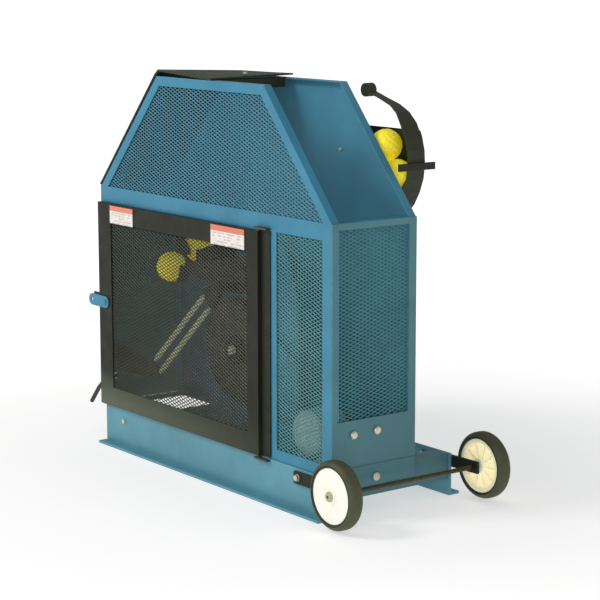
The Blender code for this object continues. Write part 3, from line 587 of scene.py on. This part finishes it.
def ribbon_corners(face_sign):
    """The four corners of a tilted ribbon's section, as (up, out) offsets."""
    rc, rs = math.cos(STRAND_TILT), math.sin(STRAND_TILT)
    corners = []
    for r, n in ((-1, -1), (1, -1), (1, 1), (-1, 1)):
        db = 0.5 * (r * STRAND_W * rc - n * STRAND_T * rs)
        dd = 0.5 * (r * STRAND_W * rs + n * STRAND_T * rc)
        corners.append((db, dd * face_sign))
    return corners


def ribbon_faces(rows):
    """Four sides along the ribbon and a cap at each end."""
    faces = []
    for r in range(rows):
        for c in range(4):
            d = (c + 1) % 4
            faces.append((4 * r + c, 4 * r + d, 4 * r + 4 + d, 4 * r + 4 + c))
    faces.append((3, 2, 1, 0))
    faces.append(tuple(4 * rows + c for c in range(4)))
    return faces


def expanded_mesh(name, node, axes, mat, body, face_sign):
    """Zigzag strands that meet at bonds, each a tilted ribbon, cut to the plate's outline."""
    outline = outline_of(node, axes)
    low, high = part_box(node)
    depth_axis = 3 - axes[0] - axes[1]
    depth = 0.5 * (low[depth_axis] + high[depth_axis])
    step = 0.5 * DIAMOND_LONG
    rise = 0.5 * DIAMOND_SHORT
    edge = 0.5 * STRAND_W
    bottom = min(b for a, b in outline) + edge
    top = max(b for a, b in outline) - edge
    corners = ribbon_corners(face_sign)
    shape = Build()
    count = int((top - bottom) / rise)
    for k in range(count):
        b0 = bottom + k * rise
        left, right = span_at(outline, b0 + 0.5 * rise)
        i0 = math.ceil(left / step)
        i1 = math.floor(right / step)
        verts = []
        for i in range(i0, i1 + 1):
            b = b0 + (rise if (i + k) % 2 else 0.0)
            for db, dd in corners:
                p = [0.0, 0.0, 0.0]
                p[axes[0]] = i * step
                p[axes[1]] = b + db
                p[depth_axis] = depth + dd
                verts.append(p)
        shape.add(verts, ribbon_faces(i1 - i0))
    add_piece(name, shape.verts, shape.faces, mat, body, [node], smooth=False)


# ================================================================ balls
def dimpled_ball(name, node, body):
    """Ball with evenly spread shallow dimples."""
    centre = middle(node)
    low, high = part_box(node)
    radius = 0.5 * (high[2] - low[2])
    bm = bmesh.new()
    bmesh.ops.create_icosphere(bm, subdivisions=5, radius=1.0)
    pts = np.array([v.co[:] for v in bm.verts])
    k = np.arange(BALL_DIMPLES) + 0.5
    polar = np.arccos(1.0 - 2.0 * k / BALL_DIMPLES)
    turn = math.pi * (1.0 + math.sqrt(5.0)) * k
    dots = np.stack([np.cos(turn) * np.sin(polar), np.sin(turn) * np.sin(polar), np.cos(polar)], 1)
    near = np.arccos(np.clip(pts @ dots.T, -1.0, 1.0)).min(axis=1)
    fall = np.clip(1.0 - (near / DIMPLE_REACH) ** 2, 0.0, 1.0)
    out = pts * (radius - DIMPLE_DEPTH * fall)[:, None] + np.array(centre)
    bm.verts.index_update()
    faces = [[v.index for v in f.verts] for f in bm.faces]
    bm.free()
    add_piece(name, out, faces, MAT["ball"], body, [node], sharp=80)


# ================================================================ springs
def coil_spring(name, node):
    """Close-wound extension spring with end plugs, along the line of its CAD envelope."""
    pts = node_points(node)
    mean = pts.mean(axis=0)
    axis = np.linalg.svd(pts - mean)[2][0]
    if axis[2] > 0:
        axis = -axis
    along = (pts - mean) @ axis
    start, end = mean + axis * along.min(), mean + axis * along.max()
    up = np.array((0.0, 1.0, 0.0))
    side = np.cross(axis, up)
    side /= np.linalg.norm(side)
    length = along.max() - along.min()
    wound = length - 2 * COIL_PLUG
    low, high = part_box(node)
    coil_r = 0.5 * (high[1] - low[1]) - WIRE_R
    turns = int(wound / COIL_PITCH)
    t = np.linspace(0.0, 1.0, turns * 12 + 1)
    ang = t * turns * math.tau
    line = start + np.outer(COIL_PLUG + t * wound, axis)
    path = line + coil_r * (np.outer(np.cos(ang), side) + np.outer(np.sin(ang), up))
    shape = Build()
    shape.tube(path, WIRE_R, 7)
    for a, b in ((start, start + axis * COIL_PLUG * 1.6), (end, end - axis * COIL_PLUG * 1.6)):
        d = b - a
        rod = [a + d * s for s in (0.0, 0.12, 0.5, 0.88, 1.0)]
        shape.tube(rod, coil_r - WIRE_R - TIGHT, 16)
    add_piece(name, shape.verts, shape.faces, MAT["spring"], "springs", [node],
              sharp=50)


# ================================================================ wheels
def arc(cx, cy, radius, a0, a1, count):
    """Points on a circle from angle a0 to a1, in degrees."""
    angles = [math.radians(a0 + (a1 - a0) * i / count) for i in range(count + 1)]
    return [(cx + radius * math.cos(a), cy + radius * math.sin(a)) for a in angles]


def tyre_profile(hub_r, outer, half):
    """Closed (radius, height) section of the tyre: flat sides, round shoulders, a shallow seam."""
    sh = TYRE_SHOULDER
    profile = [(hub_r + TIGHT, -half + 0.004), (hub_r + 0.0015, -half + 0.0012), (hub_r + 0.004, -half)]
    profile += arc(outer - sh, -half + sh, sh, -90, 0, 7)
    profile += [(outer, -TYRE_SEAM), (outer - 0.0005, 0.0), (outer, TYRE_SEAM)]
    profile += arc(outer - sh, half - sh, sh, 0, 90, 7)
    profile += [(hub_r + 0.004, half), (hub_r + 0.0015, half - 0.0012), (hub_r + TIGHT, half - 0.004)]
    return profile


def hub_profile(hub_r, o, s):
    """Closed (radius, height) section of the hub: dished face at o, hollow back; s points outward."""
    face = [(HUB_BORE, o), (0.0125, o), (0.0140, o - s * 0.001), (0.0150, o - s * 0.0050)]
    face += [(0.030, o - s * 0.0058), (0.044, o - s * 0.0052), (0.0500, o - s * 0.0030)]
    face += [(0.0560, o - s * 0.0022), (hub_r - 0.001, o - s * 0.0024), (hub_r, o - s * 0.0036)]
    back = [(hub_r, -o + s * 0.0040), (hub_r - 0.001, -o + s * 0.0030), (0.0530, -o + s * 0.0030)]
    back += [(0.0515, -o + s * 0.0050), (0.0505, o - s * 0.0120), (0.0480, o - s * 0.0135)]
    back += [(0.0190, o - s * 0.0135), (0.0175, o - s * 0.0150), (0.0165, -o + s * 0.0010)]
    back += [(0.0155, -o), (HUB_BORE, -o)]
    return face + back


def wheel(side):
    """Solid rubber tyre with rounded shoulders, on a dished plastic hub ribbed on its inner side."""
    s = -1.0 if side == "near" else 1.0
    body = "wheel_" + side
    tyre_node, hub_node = "wheel_%s_tyre" % side, "wheel_%s_hub" % side
    low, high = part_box(tyre_node)
    hub_low, hub_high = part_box(hub_node)
    x, z = 0.5 * (low[0] + high[0]), 0.5 * (low[2] + high[2])
    outer = 0.5 * (high[2] - low[2])
    hub_r = 0.5 * (hub_high[2] - hub_low[2])
    half = 0.5 * (hub_high[1] - hub_low[1])
    mid = (x, 0.5 * (hub_low[1] + hub_high[1]), z)
    tyre = Build()
    tyre.lathe(mid, tyre_profile(hub_r, outer, half), "Y", 96, closed=True)
    add_piece("tyre_" + side, tyre.verts, tyre.faces, MAT["tyre"], body, [tyre_node])
    o = s * half
    hub = Build()
    hub.lathe(mid, hub_profile(hub_r, o, s), "Y", 96, closed=True)
    for k in range(HUB_RIBS):
        rib(hub, mid, math.tau * k / HUB_RIBS, 0.0168, 0.0512, o - s * 0.0130, -o + s * 0.0080)
    add_piece("hub_" + side, hub.verts, hub.faces, MAT["hub_" + side], body, [hub_node],
              sharp=30)
    washer = Build()
    ring = [(HUB_BORE, o + s * 0.0001), (HUB_WASHER_R, o + s * 0.0001)]
    ring += [(HUB_WASHER_R, o + s * 0.0004), (HUB_BORE, o + s * 0.0004)]
    washer.lathe(mid, ring, "Y", 48, closed=True)
    add_piece("hub_washer_" + side, washer.verts, washer.faces, MAT["cap"], body)


def rib(shape, centre, a, r0, r1, h0, h1):
    """Thin radial rib between two radii."""
    t = RIB_HALF
    c, s = math.cos(a), math.sin(a)
    verts = []
    for h in (h0, h1):
        for r, w in ((r0, -t), (r1, -t), (r1, t), (r0, t)):
            verts.append((centre[0] + r * c - w * s, centre[1] + h, centre[2] + r * s + w * c))
    faces = [(0, 1, 2, 3), (7, 6, 5, 4), (0, 4, 5, 1), (1, 5, 6, 2), (2, 6, 7, 3), (3, 7, 4, 0)]
    shape.add(verts, faces)


# ================================================================ chain and motor
def chain_places(node):
    """Pin places (x, z) spread evenly along the chain loop, set in from its outer edge."""
    outline = outline_of(node, (0, 2))
    pts = np.array(outline + outline[:1])
    centre = pts[:-1].mean(axis=0)
    seg = np.linalg.norm(np.diff(pts, axis=0), axis=1)
    dist = np.concatenate([[0.0], np.cumsum(seg)])
    total = dist[-1]
    count = 2 * int(total / CHAIN_PITCH / 2)
    places = []
    for i in range(count):
        s = total * i / count
        j = min(int(np.searchsorted(dist, s, side="right")) - 1, len(seg) - 1)
        d = (pts[j + 1] - pts[j]) / seg[j]
        p = pts[j] + d * (s - dist[j])
        n = np.array((-d[1], d[0]))
        if np.dot(centre - p, n) < 0:
            n = -n
        places.append(p + n * CHAIN_INWARD)
    return places


def roller_chain():
    """Roller chain of plate pairs and rollers around the two sprockets."""
    y_mid = middle("drive_chain")[1]
    roller = [(0, -0.0034), (0.0014, -0.0034), (0.0014, -0.0016), (0.0024, -0.0016),
              (0.0024, 0.0016), (0.0014, 0.0016), (0.0014, 0.0034), (0, 0.0034)]
    places = chain_places("drive_chain")
    shape = Build()
    for i, a in enumerate(places):
        b = places[(i + 1) % len(places)]
        off = 0.0021 if i % 2 else 0.0028
        shape.lathe((a[0], y_mid, a[1]), roller, "Y", 10)
        for side in (-1, 1):
            link_plate(shape, a, b, y_mid + side * off, LINK_HALF)
    add_piece("roller_chain", shape.verts, shape.faces, MAT["iron"], "frame",
              ["drive_chain"])


def link_plate(shape, a, b, y, half):
    """Flat link plate with round ends between two pin places."""
    d = b - a
    ang = math.atan2(d[1], d[0])
    loop = []
    for end, base in ((b, ang - math.pi / 2), (a, ang + math.pi / 2)):
        for k in range(5):
            t = base + math.pi * k / 4
            loop.append((end[0] + LINK_R * math.cos(t), end[1] + LINK_R * math.sin(t)))
    n = len(loop)
    verts = [(p[0], y - half, p[1]) for p in loop] + [(p[0], y + half, p[1]) for p in loop]
    faces = [tuple(range(n)), tuple(reversed(range(n, 2 * n)))]
    faces += [(i, (i + 1) % n, n + (i + 1) % n, n + i) for i in range(n)]
    shape.add(verts, faces)


def motor():
    """Finned motor body with end bells, a foot plate on two feet, and foot bolts."""
    low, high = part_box("motor")
    x = 0.5 * (low[0] + high[0])
    r = 0.5 * (high[0] - low[0])
    z = high[2] - r
    foot = low[2]
    y0, y1 = low[1], high[1]
    shape = Build()
    shape.lathe((x, 0.0, z), bell(y0, y0 + MOTOR_BELL, r * 0.97), "Y", 64)
    shape.lathe((x, 0.0, z), bell(y1, y1 - MOTOR_BELL, r * 0.97), "Y", 64)
    body = [(0, y0 + 0.0135), (r * 0.90, y0 + 0.0135), (r * 0.90, y1 - 0.0135), (0, y1 - 0.0135)]
    shape.lathe((x, 0.0, z), body, "Y", 64)
    for k in range(MOTOR_FINS):
        a = math.radians(-50 + 280 * k / (MOTOR_FINS - 1))
        fin(shape, (x, z), a, r * 0.88, r * 0.985, y0 + 0.015, y1 - 0.015)
    shape.block((x - r * 0.92, y0 + 0.010, foot), (x + r * 0.92, y1 - 0.010, foot + 0.006), 0.0012)
    for side in (-1, 1):
        shape.block((x + side * MOTOR_FOOT - 0.006, y0 + 0.014, foot + 0.005),
                    (x + side * MOTOR_FOOT + 0.006, y1 - 0.014, z - r * 0.62), 0.0012)
        for y in (y0 + 0.020, y1 - 0.020):
            shape.hex_head((x + side * r * 0.78, y, foot + 0.006), 0.008, 0.004, "Z", 1.0)
    add_piece("motor_body", shape.verts, shape.faces, MAT["motor"], "frame", ["motor"])


def bell(y0, y1, r):
    """End bell profile, its flat face at y0."""
    d = y1 - y0
    return [(0, y0), (r * 0.55, y0), (r * 0.80, y0 + d * 0.12), (r * 0.95, y0 + d * 0.42),
            (r, y0 + d * 0.7), (r, y1), (0, y1)]


def fin(shape, centre, a, r0, r1, y0, y1):
    """Cooling fin along Y, a little thinner at its tip."""
    t = FIN_HALF
    c, s = math.cos(a), math.sin(a)
    verts = []
    for y in (y0, y1):
        for r, w in ((r0, -t), (r1, -t * 0.6), (r1, t * 0.6), (r0, t)):
            verts.append((centre[0] + r * c - w * s, y, centre[1] + r * s + w * c))
    faces = [(0, 1, 2, 3), (7, 6, 5, 4), (0, 4, 5, 1), (1, 5, 6, 2), (2, 6, 7, 3), (3, 7, 4, 0)]
    shape.add(verts, faces)


# ================================================================ small fittings
def frame_bolts():
    """Bolt heads on the wheel arms, the near rail, the guard and the far panel."""
    rail_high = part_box("base_rail_near")[1]
    cage_low, cage_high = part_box("side_frame_near")
    far_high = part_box("side_panel_far")[1]
    arm_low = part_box("wheel_arm_near")[0]
    far_arm_low, far_arm_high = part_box("wheel_arm_far")
    guard_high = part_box("top_guard")[1]
    web = rail_high[1] - 0.006
    far_arm_z = far_arm_low[2] + 0.0155
    middle_y = 0.5 * (cage_low[1] + far_high[1]) - 0.012
    shape = Build()
    shape.hex_head((arm_low[0] + 0.014, arm_low[1], arm_low[2] + 0.0145), 0.013, 0.005, "Y", -1.0)
    shape.hex_head((cage_low[0] + 0.094, web, rail_high[2] - 0.030), 0.012, 0.004, "Y", -1.0)
    shape.hex_head((far_arm_low[0] + 0.014, far_arm_high[1], far_arm_z), 0.013, 0.005, "Y", 1.0)
    for x in (0.020, 0.055):
        place = (far_arm_low[0] + x, far_arm_low[1] - 0.0066, far_arm_z)
        shape.hex_head(place, 0.013, 0.005, "Y", -1.0)
    shape.hex_head((guard_high[0] - 0.012, middle_y, guard_high[2] - 0.0045), 0.009, 0.003, "Z", 1.0)
    place = (cage_low[0] + 0.662, far_high[1] - 0.0034, cage_high[2] - 0.152)
    shape.hex_head(place, 0.007, 0.002, "Y", -1.0)
    add_piece("frame_bolts", shape.verts, shape.faces, MAT["zinc"], "frame", sharp=25)


def sheet_bar(name, low, high, chamfer, mat):
    """Flat bar or fold of sheet metal fixed to the frame."""
    bar = Build()
    bar.block(low, high, chamfer)
    add_piece(name, bar.verts, bar.faces, mat, "frame")


def sheet_laps():
    """Angle at the shoulder, the guard's rear lap and end bar, and the fold across the end panel."""
    rail_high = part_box("base_rail_near")[1]
    cage_low, cage_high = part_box("side_frame_near")
    far_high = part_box("side_panel_far")[1]
    guard_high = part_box("top_guard")[1]
    end_low, end_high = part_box("end_panel_wheel")
    rear_low, rear_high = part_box("end_panel_rear")
    y0, y1 = cage_low[1] + FLANGE_LAP, far_high[1] - FLANGE_LAP
    sheet_bar("shoulder_angle", (end_low[0] - 0.034, y0, end_high[2] - 0.0034),
              (end_low[0] - TIGHT, y1, end_high[2] - 0.0004), 0.0004, MAT["blue"])
    sheet_bar("guard_lap", (rear_low[0] - 0.0030, rear_low[1] + 0.003, rear_high[2] - 0.012),
              (rear_low[0] - TIGHT, rear_high[1] - 0.003, rear_high[2] + 0.0036), 0.0006,
              MAT["black_sheet"])
    sheet_bar("guard_end_bar", (guard_high[0] - 0.026, y0, cage_high[2] - 0.022),
              (guard_high[0] - 0.002, y1, cage_high[2] + 0.0004), 0.0008,
              MAT["black_sheet"])
    sheet_bar("end_panel_fold", (end_high[0] + 0.0002, end_low[1] + 0.002, rail_high[2] + 0.014),
              (end_high[0] + 0.0016, end_high[1] - 0.002, rail_high[2] + 0.017), 0.0006,
              MAT["blue_shaded_end"])


def axle_caps():
    """Push-on caps over both ends of the axle, each with a small hole in its middle."""
    low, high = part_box("wheel_axle")
    x, z = 0.5 * (low[0] + high[0]), 0.5 * (low[2] + high[2])
    for side, y, s in (("near", low[1], -1.0), ("far", high[1], 1.0)):
        skin = [(CAP_HOLE, s * TIGHT), (0.0081, s * TIGHT), (0.0103, -s * 0.0018)]
        skin += [(0.0103, -s * 0.0038), (CAP_R, -s * 0.0038), (CAP_R, -s * 0.0016)]
        skin += [(0.0086, s * 0.0011), (CAP_HOLE, s * 0.0011)]
        shape = Build()
        shape.lathe((x, y, z), skin, "Y", 48, closed=True)
        add_piece("axle_cap_" + side, shape.verts, shape.faces, MAT["cap"], "frame")


def switch_housing():
    """Open box behind the rocker switch, inside the rear panel."""
    low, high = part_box("power_switch")
    panel_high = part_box("end_panel_rear")[1]
    t = HOUSING_WALL
    x0, x1 = panel_high[0] + TIGHT, panel_high[0] + 0.022
    y0, y1 = low[1] - 0.004, high[1] + 0.004
    z0, z1 = low[2] - 0.005, high[2] + 0.005
    shape = Build()
    shape.block((x1 - t, y0, z0), (x1, y1, z1))
    shape.block((x0, y0, z0), (x1, y0 + t, z1))
    shape.block((x0, y1 - t, z0), (x1, y1, z1))
    shape.block((x0, y0, z0), (x1, y1, z0 + t))
    shape.block((x0, y0, z1 - t), (x1, y1, z1))
    add_piece("switch_housing", shape.verts, shape.faces, MAT["cord"], "frame", sharp=30)


def shaft_nuts():
    """Nut that holds the arm on its shaft, and the hub disc and nut in front of the large pulley."""
    shaft = middle("crank_shaft")
    flange_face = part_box("crank_shaft")[0][1]
    arm_face = flange_face - TIGHT - ARM_THICK
    nut = Build()
    nut.hex_head((shaft[0], arm_face - TIGHT, shaft[2]), 0.030, 0.010, "Y", -1.0)
    add_piece("arm_nut", nut.verts, nut.faces, MAT["iron"], "arm", sharp=25)
    pulley = middle("drive_pulley")
    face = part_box("drive_pulley")[0][1]
    hub = Build()
    ring = [(0.0136, face - 0.0072), (0.030, face - 0.0072), (0.034, face - 0.0050),
            (0.034, face - TIGHT), (0.0136, face - TIGHT)]
    hub.lathe((pulley[0], 0.0, pulley[2]), ring, "Y", 48, closed=True)
    add_piece("pulley_hub", hub.verts, hub.faces, MAT["arm"], "drive", sharp=25)
    shaft_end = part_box("drive_shaft")[0][1]
    tip = Build()
    tip.hex_head((pulley[0], shaft_end - TIGHT, pulley[2]), 0.018, 0.006, "Y", -1.0)
    # The nut takes the glowing spring material as painted light, so it stands out in the dark interior.
    add_piece("pulley_nut", tip.verts, tip.faces, MAT["spring"], "drive", sharp=25)


# ================================================================ floor, light and camera
def stage():
    """White floor that glows a little, and more further out, so it reads as a plain white ground."""
    mat, nt, bsdf = new_material("studio_floor")
    tone = noise(nt, 0.8, 2.0)
    colour = ramp(nt, tone, 0.3, 0.7, srgb(205, 205, 205), srgb(212, 212, 212))
    link(nt, colour, bsdf.inputs["Base Color"])
    bsdf.inputs["Roughness"].default_value = 1.0
    bsdf.inputs["Specular IOR Level"].default_value = 0.0
    bsdf.inputs["Emission Color"].default_value = (1.0, 1.0, 1.0, 1.0)
    coord = nt.nodes.new("ShaderNodeTexCoord")
    reach = nt.nodes.new("ShaderNodeVectorMath")
    reach.operation = "LENGTH"
    link(nt, coord.outputs["Object"], reach.inputs[0])
    link(nt, spread(nt, reach.outputs["Value"], 0.8, 2.6, 0.52, 0.86), bsdf.inputs["Emission Strength"])
    mesh = bpy.data.meshes.new("studio_floor")
    h = FLOOR_HALF
    mesh.from_pydata([(-h, -h, 0), (h, -h, 0), (h, h, 0), (-h, h, 0)], [], [(0, 1, 2, 3)])
    floor = bpy.data.objects.new("studio_floor", mesh)
    floor.data.materials.append(mat)
    bpy.context.scene.collection.objects.link(floor)


def area_light(name, place, target, size, power, colour=(1.0, 1.0, 1.0)):
    """Round soft light that faces its target."""
    data = bpy.data.lights.new(name, "AREA")
    data.shape = "DISK"
    data.size = size
    data.energy = power
    data.color = colour
    ob = bpy.data.objects.new(name, data)
    ob.location = place
    direction = Vector(target) - Vector(place)
    ob.rotation_euler = direction.to_track_quat("-Z", "Y").to_euler()
    bpy.context.scene.collection.objects.link(ob)


def lights():
    """White backdrop for the camera, a softer sky for the light, one key and one low fill."""
    world = bpy.data.worlds.new("studio_world")
    bpy.context.scene.world = world
    world.use_nodes = True
    nt = world.node_tree
    back = nt.nodes["Background"]
    path = nt.nodes.new("ShaderNodeLightPath")
    back.inputs["Color"].default_value = (1.0, 1.0, 1.0, 1.0)
    level = spread(nt, path.outputs["Is Camera Ray"], 0.0, 1.0, 0.42, 1.05)
    link(nt, level, back.inputs["Strength"])
    area_light("key", (-1.2, -3.0, 3.4), (0.0, 0.1, 0.3), 1.4, 75.0, (1.0, 0.985, 0.96))
    area_light("low_fill", (1.5, -1.0, 0.5), (0.52, 0.1, 0.1), 0.6, 3.0)


def camera():
    """Long lens, looking slightly down on the door side and the wheel end."""
    data = bpy.data.cameras.new("camera")
    data.sensor_width = 36.0
    data.lens = CAMERA_LENS
    data.shift_x, data.shift_y = CAMERA_SHIFT
    data.clip_end = 90.0
    ob = bpy.data.objects.new("camera", data)
    ob.location = CAMERA_PLACE
    ob.rotation_euler = (math.pi / 2 - CAMERA_DOWN, 0.0, CAMERA_AZIMUTH)
    bpy.context.scene.collection.objects.link(ob)
    bpy.context.scene.camera = ob


def build():
    finish_cad()
    expanded_mesh("strands_upper", "mesh_upper", (0, 2), MAT["blue_mesh"], "frame", 1.0)
    expanded_mesh("strands_side", "mesh_side", (0, 2), MAT["blue_mesh_low"], "frame", 1.0)
    expanded_mesh("strands_end", "mesh_end", (1, 2), MAT["blue_mesh_low"], "frame", -1.0)
    expanded_mesh("strands_door", "door_mesh", (0, 2), MAT["black_mesh"], "door", 1.0)
    dimpled_ball("ball_in_hand", "hand_ball", "arm")
    dimpled_ball("ball_in_chute", "chute_ball", "frame")
    dimpled_ball("ball_in_hopper_1", "hopper_ball_1", "frame")
    dimpled_ball("ball_in_hopper_2", "hopper_ball_2", "frame")
    coil_spring("coil_left", "spring_left")
    coil_spring("coil_right", "spring_right")
    wheel("near")
    wheel("far")
    roller_chain()
    motor()
    frame_bolts()
    sheet_laps()
    shaft_nuts()
    switch_housing()
    axle_caps()
    stage()
    lights()
    camera()
    bpy.context.scene.view_settings.view_transform = "Standard"


build()
